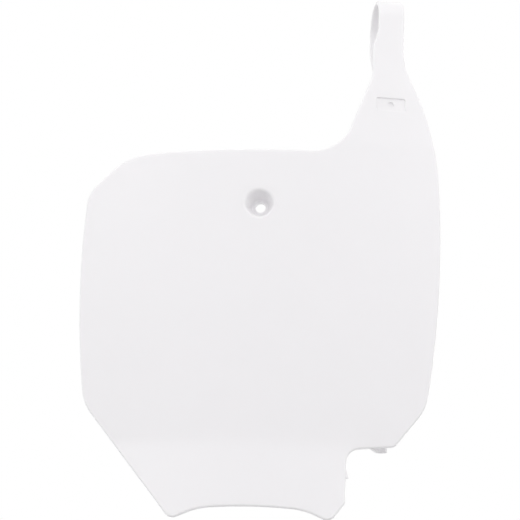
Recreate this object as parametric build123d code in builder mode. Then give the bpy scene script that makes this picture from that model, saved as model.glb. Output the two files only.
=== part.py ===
"""Racing number board, one white moulded sheet.

Millimetres. Z is up, the front faces -Y and +X is to the right as seen from the front.
The origin is the centre of the fixing bore on its rear seat.
"""
import os
from math import acos, asin, cos, degrees, radians, sin, sqrt, tan

from build123d import *

os.makedirs("parts", exist_ok=True)

# Sheet: bowed about an upright axis behind it, with a slight crown from top to bottom
wall = 2.5
bow_radius = 400.0
crown_radius = 2200.0
crown_z = -60.0

# Panel outline, seen from the front
half_width = 117.2
widest_z = -36.0
top_z = 37.9
top_corner_inset = 28.6
top_corner_drop = 2.2
top_corner_round = 36.0
side_corner_z = 12.1
side_corner_inset = 1.9
side_corner_round = 20.0
waist_z = -131.2
waist_inset = 7.3
waist_round = 32.0

# Bottom flap between two tips, with an arched lower edge
flap_z = -154.0
flap_kick = 9.0
flap_blend = 55.0
tip_z = -208.7
tip_left_x = -48.2
tip_right_x = 51.8
tip_round = 6.0
arch_z = -199.9
arch_left_x = -31.0
arch_right_x = 36.0
arch_rise = 1.5
arch_round = 45.0

# Cut-out at the lower right, with a retaining nib on its upright edge
notch_x = 60.8
notch_z = -160.9
notch_end_x = 90.4
notch_end_z = -157.4
notch_round = 8.5
notch_end_round = 5.0
flap_corner_drop = 35.0
flap_corner_round = 3.0
nib_fall = 10.7
nib_height = 6.2
nib_reach = 1.8
nib_wall = 1.8

# Neck at the upper right, leaning back
neck_z = 42.0
neck_lean = 3.0
neck_blend = 120.0
neck_foot_inset = 66.2
neck_foot_drop = 0.8
neck_foot_round = 27.0
neck_left_inset = 46.7
neck_left_z = 94.5
neck_left_round = 20.0
neck_right_inset = 21.5
neck_right_z = 92.5
shoulder_z = 19.0
shoulder_inset = 1.7

# Strap: front leg with a shoulder on its left, bend over the bar, tapered return leg
strap_inset = 35.3
strap_width = 17.2
leg_left_offset = 3.3
leg_left_z = 115.5
leg_shoulder_z = 128.5
leg_round = 15.0
leg_rise = 91.9
bar_radius = 14.3
bar_clearance = 1.7
return_length = 80.0
return_shoulder = 11.0
return_taper = 13.0
tongue_width = 13.0
tongue_round = 6.0
return_round = 10.0

# Fixing dish: conical cup with a flat floor, seen from behind as a boss with a flat seat
bore_radius = 3.3
dish_depth = 10.4
floor_radius = 5.6
floor_wall = 2.5
cup_flare = 3.6
boss_wall = 2.6
lip_round = 2.0
floor_round = 1.0
boss_round = 2.0
seat_chamfer = 0.4

# Pocket on the neck, with the strap stud behind it
pocket_rise = 25.7
pocket_offset = 1.3
pocket_width = 19.2
pocket_height = 9.4
pocket_round = 1.5
pocket_depth = 0.9
pocket_rim_round = 0.3
dimple_radius = 2.0
dimple_depth = 0.7
pad_margin = 2.5
stud_radius = 4.0
stud_length = 6.5
stud_head_overhang = 1.0
stud_head_height = 2.4
stud_chamfer = 0.8
stud_core_radius = 2.0
stud_core_depth = 6.5
eyelet_clearance = 0.3
eyelet_to_end = 9.0

# Hose hook behind the lower right corner
hook_x = 79.3
hook_bottom_z = -159.2
hook_height = 10.0
hook_wall = 1.8
hook_slope = 62.0
hook_tip_round = 0.8
hook_root_round = 3.0
hose_radius = 2.25
hose_gap = 4.5
hose_across = 4.35

# Sizes that follow from the ones above
front_round = 0.48 * wall
rear_round = 0.24 * wall
strap_x = half_width - strap_inset
neck_right_x = half_width - neck_right_inset
crown_at_bore = crown_radius - sqrt(crown_radius**2 - crown_z**2)
front_at_bore = -(dish_depth + floor_wall)
bow_axis_y = front_at_bore - crown_at_bore + bow_radius
bend_radius = bar_radius + bar_clearance + wall
bow_half_angle = degrees(asin((half_width + 10 * wall) / bow_radius))
crown_low = degrees(asin((flap_z - crown_z) / crown_radius))
crown_high = degrees(asin((neck_z - crown_z) / crown_radius))
lean = radians(crown_high + neck_lean)
flap_length = 1.2 * (flap_z - tip_z)
neck_length = 1.2 * leg_rise

upright = Vector(0, 0, 1)
bow_axis = Axis((0, bow_axis_y, 0), (0, 0, 1))
bow_start = radians(bow_half_angle)
start_plane = Plane(
    origin=(0, bow_axis_y, 0),
    x_dir=(-sin(bow_start), -cos(bow_start), 0),
    z_dir=(-cos(bow_start), sin(bow_start), 0),
)


def face_point(rho, x, z):
    """Point of the front face where it stands rho away from the bow axis."""
    return Vector(x, bow_axis_y - sqrt(rho**2 - x**2), z)


def neck_plane(rise, x):
    """Plane on the front of the neck: x runs level to the right, y up the neck, z out of the face."""
    spot = neck_bend @ 1 + (neck_bend % 1) * rise
    turn = asin(x / spot.X)
    out = Vector(sin(turn), -cos(turn), 0)
    return Plane(
        origin=face_point(spot.X, x, spot.Y),
        x_dir=(cos(turn), sin(turn), 0),
        z_dir=out * cos(lean) + upright * sin(lean),
    )


def ring_edges(builder, radius, y):
    """Edges that run round the fixing bore at about this radius and this depth."""
    def in_ring(edge):
        middle = edge @ 0.5
        off_radius = abs(sqrt(middle.X**2 + middle.Z**2) - radius)
        return off_radius < 0.4 * wall and abs(middle.Y - y) < 0.4 * wall
    return builder.edges().filter_by(in_ring)


with BuildPart() as number_board:
    # Bowed sheet, before it is trimmed: its upright section is swung about the bow axis
    with BuildSketch(start_plane):
        with BuildLine():
            centre = (bow_radius - crown_radius, crown_z)
            crown = CenterArc(centre, crown_radius, crown_low, crown_high - crown_low)
            neck_bend = JernArc(crown @ 1, crown % 1, neck_blend, neck_lean)
            neck_line = Line(neck_bend @ 1, neck_bend @ 1 + (neck_bend % 1) * neck_length)
            flap_bend = JernArc(crown @ 0, (crown % 0) * -1, flap_blend, flap_kick)
            flap_line = Line(flap_bend @ 1, flap_bend @ 1 + (flap_bend % 1) * flap_length)
            crown_in = CenterArc(centre, crown_radius - wall, crown_low, crown_high - crown_low)
            neck_in = JernArc(crown_in @ 1, crown_in % 1, neck_blend - wall, neck_lean)
            neck_line_in = Line(neck_in @ 1, neck_in @ 1 + (neck_in % 1) * neck_length)
            flap_in = JernArc(crown_in @ 0, (crown_in % 0) * -1, flap_blend + wall, flap_kick)
            flap_line_in = Line(flap_in @ 1, flap_in @ 1 + (flap_in % 1) * flap_length)
            Line(neck_line @ 1, neck_line_in @ 1)
            Line(flap_line @ 1, flap_line_in @ 1)
        make_face()
    revolve(axis=bow_axis, revolution_arc=2 * bow_half_angle)

    # Outline, drawn with sharp corners that are rounded afterwards
    strap = neck_plane(leg_rise, strap_x)
    strap_top_z = strap.origin.Z + bend_radius
    strap_left_x = strap_x - strap_width / 2
    strap_right_x = strap_x + strap_width / 2
    with BuildSketch(Plane.XZ) as outline:
        with BuildLine():
            tip_left = (tip_left_x, tip_z)
            arch_left = (arch_left_x, arch_z - arch_rise)
            arch_middle = ((arch_left_x + arch_right_x) / 2, arch_z)
            arch_right = (arch_right_x, arch_z - arch_rise)
            tip_right = (tip_right_x, tip_z)
            flap_corner = (notch_x, notch_z - flap_corner_drop)
            notch_corner = (notch_x, notch_z)
            notch_end = (notch_end_x, notch_end_z)
            waist_right = (half_width - waist_inset, waist_z)
            shoulder = (half_width - shoulder_inset, shoulder_z)
            neck_right = (neck_right_x, neck_right_z)
            leg_shoulder = (strap_left_x, leg_shoulder_z)
            leg_left = (strap_left_x - leg_left_offset, leg_left_z)
            neck_left = (half_width - neck_left_inset, neck_left_z)
            neck_foot = (half_width - neck_foot_inset, top_z - neck_foot_drop)
            top_corner = (top_corner_inset - half_width, top_z - top_corner_drop)
            side_corner = (side_corner_inset - half_width, side_corner_z)
            waist_left = (waist_inset - half_width, waist_z)
            Line(tip_left, arch_left)
            ThreePointArc(arch_left, arch_middle, arch_right)
            Line(arch_right, tip_right)
            Line(tip_right, flap_corner)
            Line(flap_corner, notch_corner)
            Line(notch_corner, notch_end)
            Line(notch_end, waist_right)
            side = ThreePointArc(waist_right, (half_width, widest_z), shoulder)
            neck_side = TangentArc(shoulder, neck_right, tangent=side % 1)
            foot_turn = acos((neck_side % 1).Y)
            foot_rise = (neck_right_x - strap_right_x) / tan(foot_turn / 2)
            strap_foot = (strap_right_x, neck_right_z + foot_rise)
            TangentArc(neck_right, strap_foot, tangent=neck_side % 1)
            Line(strap_foot, (strap_right_x, strap_top_z))
            Line((strap_right_x, strap_top_z), (strap_left_x, strap_top_z))
            Line((strap_left_x, strap_top_z), leg_shoulder)
            Line(leg_shoulder, leg_left)
            Line(leg_left, neck_left)
            Line(neck_left, neck_foot)
            ThreePointArc(neck_foot, (0, top_z), top_corner)
            Line(top_corner, side_corner)
            ThreePointArc(side_corner, (-half_width, widest_z), waist_left)
            Line(waist_left, tip_left)
        make_face()
        corner_rounds = [
            (tip_left, tip_round),
            (arch_left, arch_round),
            (arch_right, arch_round),
            (tip_right, tip_round),
            (flap_corner, flap_corner_round),
            (notch_corner, notch_round),
            (notch_end, notch_end_round),
            (waist_right, waist_round),
            (leg_shoulder, leg_round),
            (leg_left, leg_round),
            (neck_left, neck_left_round),
            (neck_foot, neck_foot_round),
            (top_corner, top_corner_round),
            (side_corner, side_corner_round),
            (waist_left, waist_round),
        ]
        for point, radius in corner_rounds:
            corner = outline.vertices().sort_by_distance((point[0], point[1], 0))[0]
            fillet(corner, radius)
    extrude(amount=bow_radius, both=True, mode=Mode.INTERSECT)

    # Strap bent backwards over the bar from the end of its front leg, then hanging down behind
    split(bisect_by=Plane(origin=strap.origin, z_dir=strap.y_dir), keep=Keep.BOTTOM)
    leg_end = number_board.faces().sort_by(Axis.Z)[-1]
    bar_centre = strap.origin - strap.z_dir * bend_radius
    revolve(leg_end, axis=Axis(bar_centre, strap.x_dir * -1), revolution_arc=180)
    return_top = strap.origin - strap.z_dir * (2 * bend_radius - wall / 2)
    bend_end = number_board.faces().sort_by_distance(return_top)[0]
    extrude(bend_end, amount=return_length)

    # Return leg narrowed to its tongue on both sides, with soft corners
    tongue_end = return_top - strap.y_dir * return_length
    tongue_plane = Plane(origin=tongue_end, x_dir=strap.x_dir, z_dir=strap.z_dir)
    taper_top = return_length - return_shoulder
    taper_foot = taper_top - return_taper
    taper_slope = (strap_width - tongue_width) / 2 / return_taper
    cut_x = strap_width / 2 + 2 * wall
    cut_top = taper_foot + (cut_x - tongue_width / 2) / taper_slope
    with BuildSketch(tongue_plane):
        with BuildLine():
            Polyline(
                (tongue_width / 2, -wall),
                (tongue_width / 2, taper_foot),
                (cut_x, cut_top),
                (cut_x, -wall),
                close=True,
            )
        make_face()
        mirror(about=Plane.YZ)
    extrude(amount=2 * wall, both=True, mode=Mode.SUBTRACT)
    tongue = number_board.faces().sort_by_distance(tongue_end)[0]
    fillet(tongue.edges().sort_by(SortBy.LENGTH)[0:2], tongue_round)

    def on_taper(edge):
        spot = tongue_plane.to_local_coords(edge @ 0.5)
        beside = taper_foot - wall < spot.Y < taper_top + 2 * wall
        return beside and abs(spot.Z) < wall and edge.length < 2 * wall

    fillet(number_board.edges().filter_by(on_taper), return_round)

    # Outer edges, rounded all the way round: the front one runs on along the outside of the strap
    rho_widest = bow_radius - crown_radius + sqrt(crown_radius**2 - (widest_z - crown_z) ** 2)
    side_front = face_point(rho_widest, -half_width, widest_z)
    side_back = face_point(rho_widest - wall, -half_width, widest_z)
    fillet(number_board.edges().sort_by_distance(side_front)[0], front_round)
    fillet(number_board.edges().sort_by_distance(side_back)[0], rear_round)

    # Eyelet in the tongue, sized for the stud
    with BuildSketch(tongue_plane):
        with Locations((0, eyelet_to_end)):
            Circle(stud_radius + eyelet_clearance)
    extrude(amount=2 * wall, both=True, mode=Mode.SUBTRACT)

    # Boss of the fixing dish, blended into the back of the sheet
    cup_radius = floor_radius + cup_flare
    boss_slope = cup_flare / dish_depth
    boss_length = dish_depth + floor_wall - 0.5 * wall
    seat_radius = floor_radius + boss_wall
    with BuildSketch(Plane.XY):
        with BuildLine():
            boss_foot = (seat_radius + boss_length * boss_slope, -boss_length)
            Polyline((0, 0), (seat_radius, 0), boss_foot, (0, -boss_length), close=True)
        make_face()
    revolve(axis=Axis.Y)
    back_at_bore = front_at_bore + wall
    root_radius = seat_radius - back_at_bore * boss_slope
    fillet(ring_edges(number_board, root_radius, back_at_bore), boss_round)

    # Cup of the fixing dish with its soft lip, then the bore through its floor
    cup_length = dish_depth + 2 * wall
    with BuildSketch(Plane.XY):
        with BuildLine():
            cup_floor = (floor_radius, -floor_wall)
            cup_mouth = (floor_radius + cup_length * boss_slope, -floor_wall - cup_length)
            Polyline((0, -floor_wall), cup_floor, cup_mouth, (0, -floor_wall - cup_length), close=True)
        make_face()
    revolve(axis=Axis.Y, mode=Mode.SUBTRACT)
    fillet(ring_edges(number_board, cup_radius, front_at_bore), lip_round)
    fillet(ring_edges(number_board, floor_radius, -floor_wall), floor_round)
    with BuildSketch(Plane.XZ):
        Circle(bore_radius)
    extrude(amount=2 * floor_wall, both=True, mode=Mode.SUBTRACT)
    chamfer(ring_edges(number_board, seat_radius, 0), seat_chamfer)

    # Pad behind the pocket, and the strap stud with a wider head that holds the eyelet
    pocket = neck_plane(pocket_rise, strap_x + pocket_offset)
    stud = neck_plane(pocket_rise, strap_x)
    pad_depth = pocket_depth + wall
    stud_depth = pad_depth + stud_length
    with BuildSketch(pocket.offset(-0.8 * wall)):
        RectangleRounded(
            pocket_width + 2 * pad_margin,
            pocket_height + 2 * pad_margin,
            pocket_round + pad_margin,
        )
    extrude(amount=0.8 * wall - pad_depth)
    with BuildSketch(stud.offset(-wall)):
        Circle(stud_radius)
    extrude(amount=wall - stud_depth)
    with BuildSketch(stud.offset(stud_head_height - stud_depth)):
        Circle(stud_radius + stud_head_overhang)
    extrude(amount=-stud_head_height)
    stud_end = number_board.faces().sort_by_distance(stud.origin - stud.z_dir * stud_depth)[0]
    chamfer(stud_end.edges(), stud_chamfer)
    with BuildSketch(stud.offset(-stud_depth)):
        Circle(stud_core_radius)
    extrude(amount=stud_core_depth, mode=Mode.SUBTRACT)

    # Pocket with a soft rim, and the dimple in its floor
    with BuildSketch(pocket.offset(wall)):
        RectangleRounded(pocket_width, pocket_height, pocket_round)
    extrude(amount=-wall - pocket_depth, mode=Mode.SUBTRACT)
    rim = number_board.edges().filter_by(lambda e: (e @ 0.5 - pocket.origin).length < 0.6 * pocket_width)
    rim = rim.filter_by(lambda e: abs(pocket.to_local_coords(e @ 0.5).Z) < 0.5 * pocket_depth)
    rim = rim.filter_by(lambda e: e.length > 0.6 * pocket_round)
    fillet(rim.filter_by(lambda e: abs((e % 0.5).dot(pocket.z_dir)) < 0.5), pocket_rim_round)
    with BuildSketch(pocket.offset(-pocket_depth)):
        Circle(dimple_radius)
    extrude(amount=-dimple_depth, mode=Mode.SUBTRACT)

    # Hose hook: a leg that swings out of the back of the sheet and curls round the hose to a rounded tip
    hook_rho = (crown @ 0).X
    hook_turn = asin(hook_x / hook_rho)
    hook_plane = Plane(
        origin=face_point(hook_rho, hook_x, hook_bottom_z),
        x_dir=(cos(hook_turn), sin(hook_turn), 0),
        z_dir=(0, 0, 1),
    )
    with BuildSketch(hook_plane) as hook:
        with BuildLine():
            hose = (hose_across, wall + hose_gap + hose_radius)
            outside = CenterArc(hose, hose_radius + hook_wall, 0, 90 + hook_slope)
            inside = CenterArc(hose, hose_radius, 0, 90 + hook_slope)
            leg = Vector(cos(radians(hook_slope)), sin(radians(hook_slope)))
            knee = outside @ 1 - leg * (((outside @ 1).Y - 0.9 * wall) / leg.Y)
            inside_root = inside @ 1 - leg * (((inside @ 1).Y - 0.6 * wall) / leg.Y)
            foot_x = knee.X - 2 * hook_root_round
            Polyline(outside @ 1, knee, (foot_x, 0.9 * wall), (foot_x, 0.6 * wall), inside_root, inside @ 1)
            Line(inside @ 0, outside @ 0)
        make_face()
        fillet(hook.vertices().sort_by_distance(knee)[0], hook_root_round)
        fillet(hook.vertices().sort_by_distance(outside @ 0)[0], hook_tip_round)
        fillet(hook.vertices().sort_by_distance(inside @ 0)[0], hook_tip_round)
    extrude(amount=hook_height)

    # Retaining nib: square below, sloping above
    nib_spot = flap_bend @ 1 + (flap_bend % 1) * nib_fall
    nib_front = face_point(nib_spot.X, notch_x, nib_spot.Y)
    with BuildSketch(Plane.XZ.offset(-nib_front.Y - wall / 2)):
        with BuildLine():
            Polyline(
                (notch_x - wall, nib_front.Z - nib_height),
                (notch_x + nib_reach, nib_front.Z - nib_height),
                (notch_x, nib_front.Z),
                (notch_x - wall, nib_front.Z),
                close=True,
            )
        make_face()
    extrude(amount=nib_wall / 2, both=True)

number_board.part.label = "number_board"
export_step(number_board.part, "parts/number_board.step")
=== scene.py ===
"""White moulded racing number board: its skin, finish, light and camera.

Metres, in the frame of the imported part: Z is up, the front faces -Y, and the origin
is the centre of the fixing bore on its rear seat.
"""
import logging
import math
from dataclasses import dataclass
from enum import Enum
from typing import Any, Union

import bpy
from mathutils import Matrix, Vector


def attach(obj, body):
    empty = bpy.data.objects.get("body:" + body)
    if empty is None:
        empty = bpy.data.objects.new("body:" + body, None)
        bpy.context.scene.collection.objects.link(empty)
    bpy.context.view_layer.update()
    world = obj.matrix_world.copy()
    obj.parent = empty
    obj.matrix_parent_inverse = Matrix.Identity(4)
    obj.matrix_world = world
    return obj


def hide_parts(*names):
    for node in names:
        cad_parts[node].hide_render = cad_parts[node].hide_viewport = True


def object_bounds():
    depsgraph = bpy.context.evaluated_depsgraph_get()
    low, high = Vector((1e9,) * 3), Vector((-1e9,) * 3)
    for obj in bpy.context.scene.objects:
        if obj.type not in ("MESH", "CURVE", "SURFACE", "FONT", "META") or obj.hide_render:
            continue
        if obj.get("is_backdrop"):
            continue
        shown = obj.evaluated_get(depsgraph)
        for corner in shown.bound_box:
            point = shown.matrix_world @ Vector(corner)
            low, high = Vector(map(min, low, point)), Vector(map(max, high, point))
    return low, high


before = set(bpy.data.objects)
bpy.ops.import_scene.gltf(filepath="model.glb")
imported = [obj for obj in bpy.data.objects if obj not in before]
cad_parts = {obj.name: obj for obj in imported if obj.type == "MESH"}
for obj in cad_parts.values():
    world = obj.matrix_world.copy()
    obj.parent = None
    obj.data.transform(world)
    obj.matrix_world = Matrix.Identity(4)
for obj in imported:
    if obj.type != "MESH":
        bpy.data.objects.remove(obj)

LOG = logging.getLogger("number_board")
NOISE_MEAN = 0.5
WHITE = (1.0, 1.0, 1.0, 1.0)

Colour = tuple[float, float, float]
Point = tuple[float, float, float]
Span = tuple[float, float]
Term = Union["Signal", float]


class Side(Enum):
    """Where a lamp stands, as seen by someone who faces the board."""

    LEFT = "to the left of"
    RIGHT = "to the right of"
    BEHIND = "behind"


class Ease(Enum):
    """How softly a level changes into the next."""

    SMOOTH = "SMOOTHSTEP"
    SMOOTHER = "SMOOTHERSTEP"


def pick(*objects: bpy.types.Object) -> None:
    """Selects only these objects and makes the first one active.

    Args:
        objects: What the next operator works on; none clears the selection.
    """
    bpy.ops.object.select_all(action="DESELECT")
    for obj in objects:
        obj.select_set(True)
    if objects:
        bpy.context.view_layer.objects.active = objects[0]


class Signal:
    """A shader socket that can be used in Python arithmetic."""

    def __init__(self, sheet: "NodeSheet", socket: bpy.types.NodeSocket) -> None:
        """Wraps a socket of the given sheet."""
        self.sheet = sheet
        self.socket = socket

    def _math(self, operation: str, first: Term, second: Term) -> "Signal":
        """Adds one Math node.

        Args:
            operation: The Math node's operation.
            first: A number or signal for its first value.
            second: A number or signal for its second value.

        Returns:
            The node's result.
        """
        return self.sheet.add("ShaderNodeMath", {"operation": operation}, {0: first, 1: second})

    def __add__(self, other: Term) -> "Signal":
        """Sum of this signal and a number or signal."""
        return self._math("ADD", self, other)

    __radd__ = __add__

    def __sub__(self, other: Term) -> "Signal":
        """This signal less a number or signal."""
        return self._math("SUBTRACT", self, other)

    def __rsub__(self, other: Term) -> "Signal":
        """A number less this signal."""
        return self._math("SUBTRACT", other, self)

    def __mul__(self, other: Term) -> "Signal":
        """Product of this signal and a number or signal."""
        return self._math("MULTIPLY", self, other)

    __rmul__ = __mul__


class NodeSheet:
    """A node tree whose nodes all come from one method."""

    def __init__(self, tree: bpy.types.NodeTree) -> None:
        """Empties the tree and keeps it."""
        self.tree = tree
        tree.nodes.clear()

    def add(
        self,
        kind: str,
        settings: dict[str, Any] | None = None,
        sockets: dict[int | str, Any] | None = None,
        result: int | str = 0,
    ) -> Signal:
        """Adds a node of any kind.

        Args:
            kind: The node's type name.
            settings: Properties that are set before its sockets.
            sockets: Values or signals by socket name or number.
            result: Name or number of the output that is handed back.

        Returns:
            The chosen output, or the node's first input where it has no output.
        """
        node = self.tree.nodes.new(kind)
        for name, value in (settings or {}).items():
            setattr(node, name, value)
        for name, value in (sockets or {}).items():
            if isinstance(value, Signal):
                self.tree.links.new(value.socket, node.inputs[name])
            else:
                node.inputs[name].default_value = value
        return Signal(self, node.outputs[result] if node.outputs else node.inputs[0])

    def mix(self, mask: Signal, low: Colour, high: Colour) -> Signal:
        """Adds a mix of two colours, by the socket numbers of a Mix node set to colour.

        Args:
            mask: 0 gives the low colour and 1 the high one.
            low: The first colour.
            high: The second colour.

        Returns:
            The mixed colour.
        """
        sockets = {0: mask, 6: (*low, 1.0), 7: (*high, 1.0)}
        return self.add("ShaderNodeMix", {"data_type": "RGBA"}, sockets, result=2)

    def ramp(self, value: Signal, source: Span, target: Span, ease: Ease = Ease.SMOOTH) -> Signal:
        """Adds an eased step from one level to another.

        Args:
            value: What the step follows.
            source: Where the step starts and ends.
            target: The levels before and after it.
            ease: The shape of the step.

        Returns:
            The level.
        """
        sockets = {
            "Value": value,
            "From Min": source[0],
            "From Max": source[1],
            "To Min": target[0],
            "To Max": target[1],
        }
        return self.add("ShaderNodeMapRange", {"interpolation_type": ease.value}, sockets)


@dataclass(frozen=True)
class MouldedPlastic:
    """White plastic: satin on the number side, finely grained on the back.

    Scales are in features per metre, and depths and the scatter distance in metres.
    """

    slot: str = "white_plastic"
    colour: Colour = (0.883, 0.872, 0.886)
    shade: Colour = (0.869, 0.859, 0.872)
    cloud_scale: float = 14.0
    cloud_detail: float = 3.0
    roughness: float = 0.40
    roughness_spread: float = 0.06
    gloss_scale: float = 55.0
    gloss_detail: float = 2.0
    peel_scale: float = 420.0
    peel_depth: float = 0.000012
    grain_scale: float = 2600.0
    grain_depth: float = 0.000004
    relief_detail: float = 1.0
    back_roughness: float = 0.12
    back_grain_depth: float = 0.000014
    back_turn: Span = (0.2, 0.6)
    refraction: float = 1.49
    scatter_weight: float = 0.8
    scatter_radius: Colour = (1.0, 1.0, 1.0)
    scatter_distance: float = 0.002

    def make(self) -> bpy.types.Material:
        """Builds the material.

        Returns:
            A material that reads the board's own coordinates.
        """
        material = bpy.data.materials.new(self.slot)
        material.use_nodes = True
        sheet = NodeSheet(material.node_tree)
        place = sheet.add("ShaderNodeTexCoord", result="Object")
        cloud = self.noise(sheet, place, self.cloud_scale, self.cloud_detail)
        gloss = self.noise(sheet, place, self.gloss_scale, self.gloss_detail)
        peel = self.noise(sheet, place, self.peel_scale, self.relief_detail)
        grain = self.noise(sheet, place, self.grain_scale, self.relief_detail)

        back = self.back_mask(sheet)
        uneven = (gloss - NOISE_MEAN) * self.roughness_spread
        grain_depth = self.grain_depth + back * self.back_grain_depth
        relief = peel * self.peel_depth + grain * grain_depth
        bump = {"Strength": 1.0, "Distance": 1.0, "Height": relief}
        shader = sheet.add(
            "ShaderNodeBsdfPrincipled",
            {},
            {
                "Base Color": sheet.mix(cloud, self.shade, self.colour),
                "Roughness": self.roughness + uneven + back * self.back_roughness,
                "IOR": self.refraction,
                "Subsurface Weight": self.scatter_weight,
                "Subsurface Radius": self.scatter_radius,
                "Subsurface Scale": self.scatter_distance,
                "Normal": sheet.add("ShaderNodeBump", {}, bump),
            },
        )
        sheet.add("ShaderNodeOutputMaterial", {}, {"Surface": shader})
        return material

    def back_mask(self, sheet: NodeSheet) -> Signal:
        """Marks the surfaces that face away from the number side.

        Args:
            sheet: The tree to add to.

        Returns:
            0 on the number side, 1 on the back.
        """
        facing = sheet.add("ShaderNodeTexCoord", result="Normal")
        rearward = sheet.add("ShaderNodeSeparateXYZ", {}, {"Vector": facing}, result="Y")
        return sheet.ramp(rearward, self.back_turn, (0.0, 1.0))

    @staticmethod
    def noise(sheet: NodeSheet, place: Signal, scale: float, detail: float) -> Signal:
        """Adds one noise pattern.

        Args:
            sheet: The tree to add to.
            place: The coordinates that it reads.
            scale: Its features per metre.
            detail: Its finer layers.

        Returns:
            The noise's value.
        """
        sockets = {"Vector": place, "Scale": scale, "Detail": detail}
        return sheet.add("ShaderNodeTexNoise", {}, sockets)


@dataclass
class NumberBoard:
    """The one-piece board: sheet, dish, neck, pocket, strap, hook and nib."""

    node: str = "number_board"
    skin_name: str = "board_skin"
    merge_distance: float = 2e-6
    sharp_angle: float = math.radians(35.0)
    normal_weight: int = 100

    def build(self) -> bpy.types.Object:
        """Makes the smooth skin from a merged copy of the solid.

        Returns:
            The skin, in the place of the solid.
        """
        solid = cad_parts[self.node]
        skin = solid.copy()
        skin.data = solid.data.copy()
        skin.parent = None
        skin.name = self.skin_name
        bpy.context.scene.collection.objects.link(skin)
        for key in list(skin.keys()):
            del skin[key]
        pick(skin)
        bpy.ops.mesh.customdata_custom_splitnormals_clear()
        bpy.ops.object.mode_set(mode="EDIT")
        bpy.ops.mesh.select_all(action="SELECT")
        bpy.ops.mesh.remove_doubles(threshold=self.merge_distance)
        bpy.ops.object.mode_set(mode="OBJECT")
        bpy.ops.object.shade_smooth_by_angle(angle=self.sharp_angle)
        even = skin.modifiers.new("even_normals", "WEIGHTED_NORMAL")
        even.mode = "FACE_AREA"
        even.weight = self.normal_weight
        even.keep_sharp = True
        bpy.ops.object.modifier_apply(modifier=even.name)
        return skin

    def dress(self, skin: bpy.types.Object, finish: MouldedPlastic) -> None:
        """Gives the skin its finish and its place on the part.

        Args:
            skin: The skin from build.
            finish: The plastic that it is moulded in.
        """
        skin.data.materials.clear()
        skin.data.materials.append(finish.make())
        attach(skin, "root")
        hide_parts(self.node)


@dataclass
class Softbox:
    """One large area lamp that looks at the board."""

    name: str
    side: Side
    place: Vector
    size: float
    energy: float

    def build(self, target: Vector) -> bpy.types.Object:
        """Adds the lamp.

        Args:
            target: The point that it looks at.

        Returns:
            The lamp.
        """
        bpy.ops.object.light_add(type="AREA", location=self.place)
        lamp = bpy.context.object
        lamp.name = self.name
        lamp.data.size = self.size
        lamp.data.energy = self.energy
        lamp.visible_camera = False
        lamp.rotation_euler = (target - self.place).to_track_quat("-Z", "Y").to_euler()
        return lamp


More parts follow.
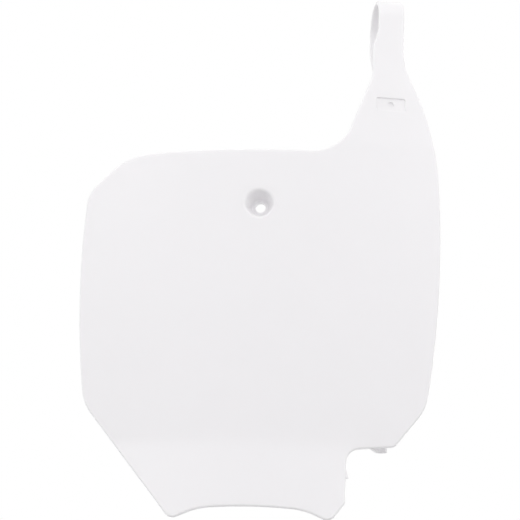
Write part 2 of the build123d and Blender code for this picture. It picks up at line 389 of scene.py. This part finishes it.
@dataclass
class Studio:
    """Pale floor, white surroundings and soft light from the front and behind."""

    floor_z: float = -0.53
    floor_size: float = 6.0
    floor_colour: Colour = (0.68, 0.68, 0.68)
    floor_bounce: Colour = (0.56, 0.56, 0.56)
    floor_roughness: float = 0.9
    floor_fade: Span = (0.5, 2.6)
    sky_level: float = 0.84
    ground_level: float = 0.86
    horizon: float = 0.3
    front_place: Point = (1.9, -1.9, 1.8)
    front_size: float = 2.0
    front_energy: float = 16.3
    back_place: Point = (0.0, 2.8, 0.8)
    back_size: float = 1.8
    back_energy: float = 21.0

    @staticmethod
    def shown(sheet: NodeSheet) -> Signal:
        """Adds a mask of the rays that show the backdrop.

        Args:
            sheet: The tree to add to.

        Returns:
            1 for what the camera, gloss and glass see, and 0 for plain light.
        """
        camera = sheet.add("ShaderNodeLightPath", result="Is Camera Ray")
        gloss = sheet.add("ShaderNodeLightPath", result="Is Glossy Ray")
        glass = sheet.add("ShaderNodeLightPath", result="Is Transmission Ray")
        return sheet.add("ShaderNodeClamp", {}, {"Value": camera + gloss + glass})

    def paint(self) -> bpy.types.Material:
        """Builds the floor's finish, which fades out with distance and from below.

        Returns:
            The material.
        """
        material = bpy.data.materials.new("floor_paint")
        material.use_nodes = True
        sheet = NodeSheet(material.node_tree)
        place = sheet.add("ShaderNodeTexCoord", result="Object")
        length = {"operation": "LENGTH"}
        reach = sheet.add("ShaderNodeVectorMath", length, {0: place}, result="Value")
        cover = sheet.ramp(reach, self.floor_fade, (1.0, 0.0), Ease.SMOOTHER)
        below = sheet.add("ShaderNodeNewGeometry", result="Backfacing")
        shader = sheet.add(
            "ShaderNodeBsdfPrincipled",
            {},
            {
                "Base Color": sheet.mix(self.shown(sheet), self.floor_bounce, self.floor_colour),
                "Roughness": self.floor_roughness,
                "Alpha": cover * (1.0 - below),
            },
        )
        sheet.add("ShaderNodeOutputMaterial", {}, {"Surface": shader})
        return material

    def floor(self) -> bpy.types.Object:
        """Lays the floor below the board, which is held in the air by its fixing.

        Returns:
            The floor.
        """
        pick()
        place = (0.0, 0.0, self.floor_z)
        bpy.ops.mesh.primitive_plane_add(size=self.floor_size, location=place)
        floor = bpy.context.object
        floor.name = "floor"
        floor.data.materials.append(self.paint())
        floor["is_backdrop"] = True
        return floor

    def surroundings(self) -> None:
        """Makes a world that lights from above and below and looks white to the camera."""
        world = bpy.data.worlds.new("white_studio")
        bpy.context.scene.world = world
        world.use_nodes = True
        sheet = NodeSheet(world.node_tree)
        way = sheet.add("ShaderNodeTexCoord", result="Generated")
        height = sheet.add("ShaderNodeSeparateXYZ", {}, {"Vector": way}, result="Z")
        band = (-self.horizon, self.horizon)
        level = sheet.ramp(height, band, (self.ground_level, self.sky_level))
        light = sheet.add("ShaderNodeBackground", {}, {"Color": WHITE, "Strength": level})
        white = sheet.add("ShaderNodeBackground", {}, {"Color": WHITE, "Strength": 1.0})
        both = sheet.add("ShaderNodeMixShader", {}, {0: self.shown(sheet), 1: light, 2: white})
        sheet.add("ShaderNodeOutputWorld", {}, {"Surface": both})

    def softboxes(self) -> list[Softbox]:
        """Lists the lamps: a pair raised in front of the board, and one behind it.

        Returns:
            The lamps, not yet built.
        """
        right = Vector(self.front_place)
        left = Vector((-right.x, right.y, right.z))
        back = Vector(self.back_place)
        return [
            Softbox("left_softbox", Side.LEFT, left, self.front_size, self.front_energy),
            Softbox("right_softbox", Side.RIGHT, right, self.front_size, self.front_energy),
            Softbox("back_softbox", Side.BEHIND, back, self.back_size, self.back_energy),
        ]


@dataclass
class PhotoCamera:
    """The camera that took the picture: a little to the right, from below."""

    azimuth: float = math.radians(5.653)
    elevation: float = math.radians(-17.275)
    roll: float = math.radians(-2.316)
    target: Point = (0.00202, -0.0130, -0.03882)
    distance: float = 1.5
    frame_width: float = 0.33418
    sensor: float = 36.0

    def build(self) -> bpy.types.Object:
        """Adds the camera and makes it the scene's own.

        Returns:
            The camera.
        """
        level = math.cos(self.elevation)
        back = Vector(
            (
                math.sin(self.azimuth) * level,
                -math.cos(self.azimuth) * level,
                math.sin(self.elevation),
            )
        )
        across = Vector((math.cos(self.azimuth), math.sin(self.azimuth), 0.0))
        upright = back.cross(across)
        right = across * math.cos(self.roll) - upright * math.sin(self.roll)
        up = across * math.sin(self.roll) + upright * math.cos(self.roll)
        bpy.ops.object.camera_add()
        camera = bpy.context.object
        camera.name = "photo_camera"
        camera.data.sensor_fit = "HORIZONTAL"
        camera.data.sensor_width = self.sensor
        camera.data.lens = self.sensor * self.distance / self.frame_width
        turn = Matrix((right, up, back)).transposed().to_4x4()
        place = Vector(self.target) + back * self.distance
        camera.matrix_world = Matrix.Translation(place) @ turn
        bpy.context.scene.camera = camera
        return camera


def main() -> None:
    """Builds the board, the studio and the camera."""
    logging.basicConfig(level=logging.INFO, format="%(name)s: %(message)s")
    cad_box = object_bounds()
    bpy.context.scene.view_settings.view_transform = "Standard"

    board = NumberBoard()
    skin = board.build()
    board.dress(skin, MouldedPlastic())
    LOG.info("%s: %d faces", skin.name, len(skin.data.polygons))

    studio = Studio()
    LOG.info("%s laid at %.3f m", studio.floor().name, studio.floor_z)
    studio.surroundings()
    middle = (cad_box[0] + cad_box[1]) / 2
    for softbox in studio.softboxes():
        lamp = softbox.build(middle)
        LOG.info("%s, %s the board", lamp.name, softbox.side.value)

    camera = PhotoCamera().build()
    LOG.info("%s with a %.1f mm lens", camera.name, camera.data.lens)


if __name__ == "__main__":
    main()
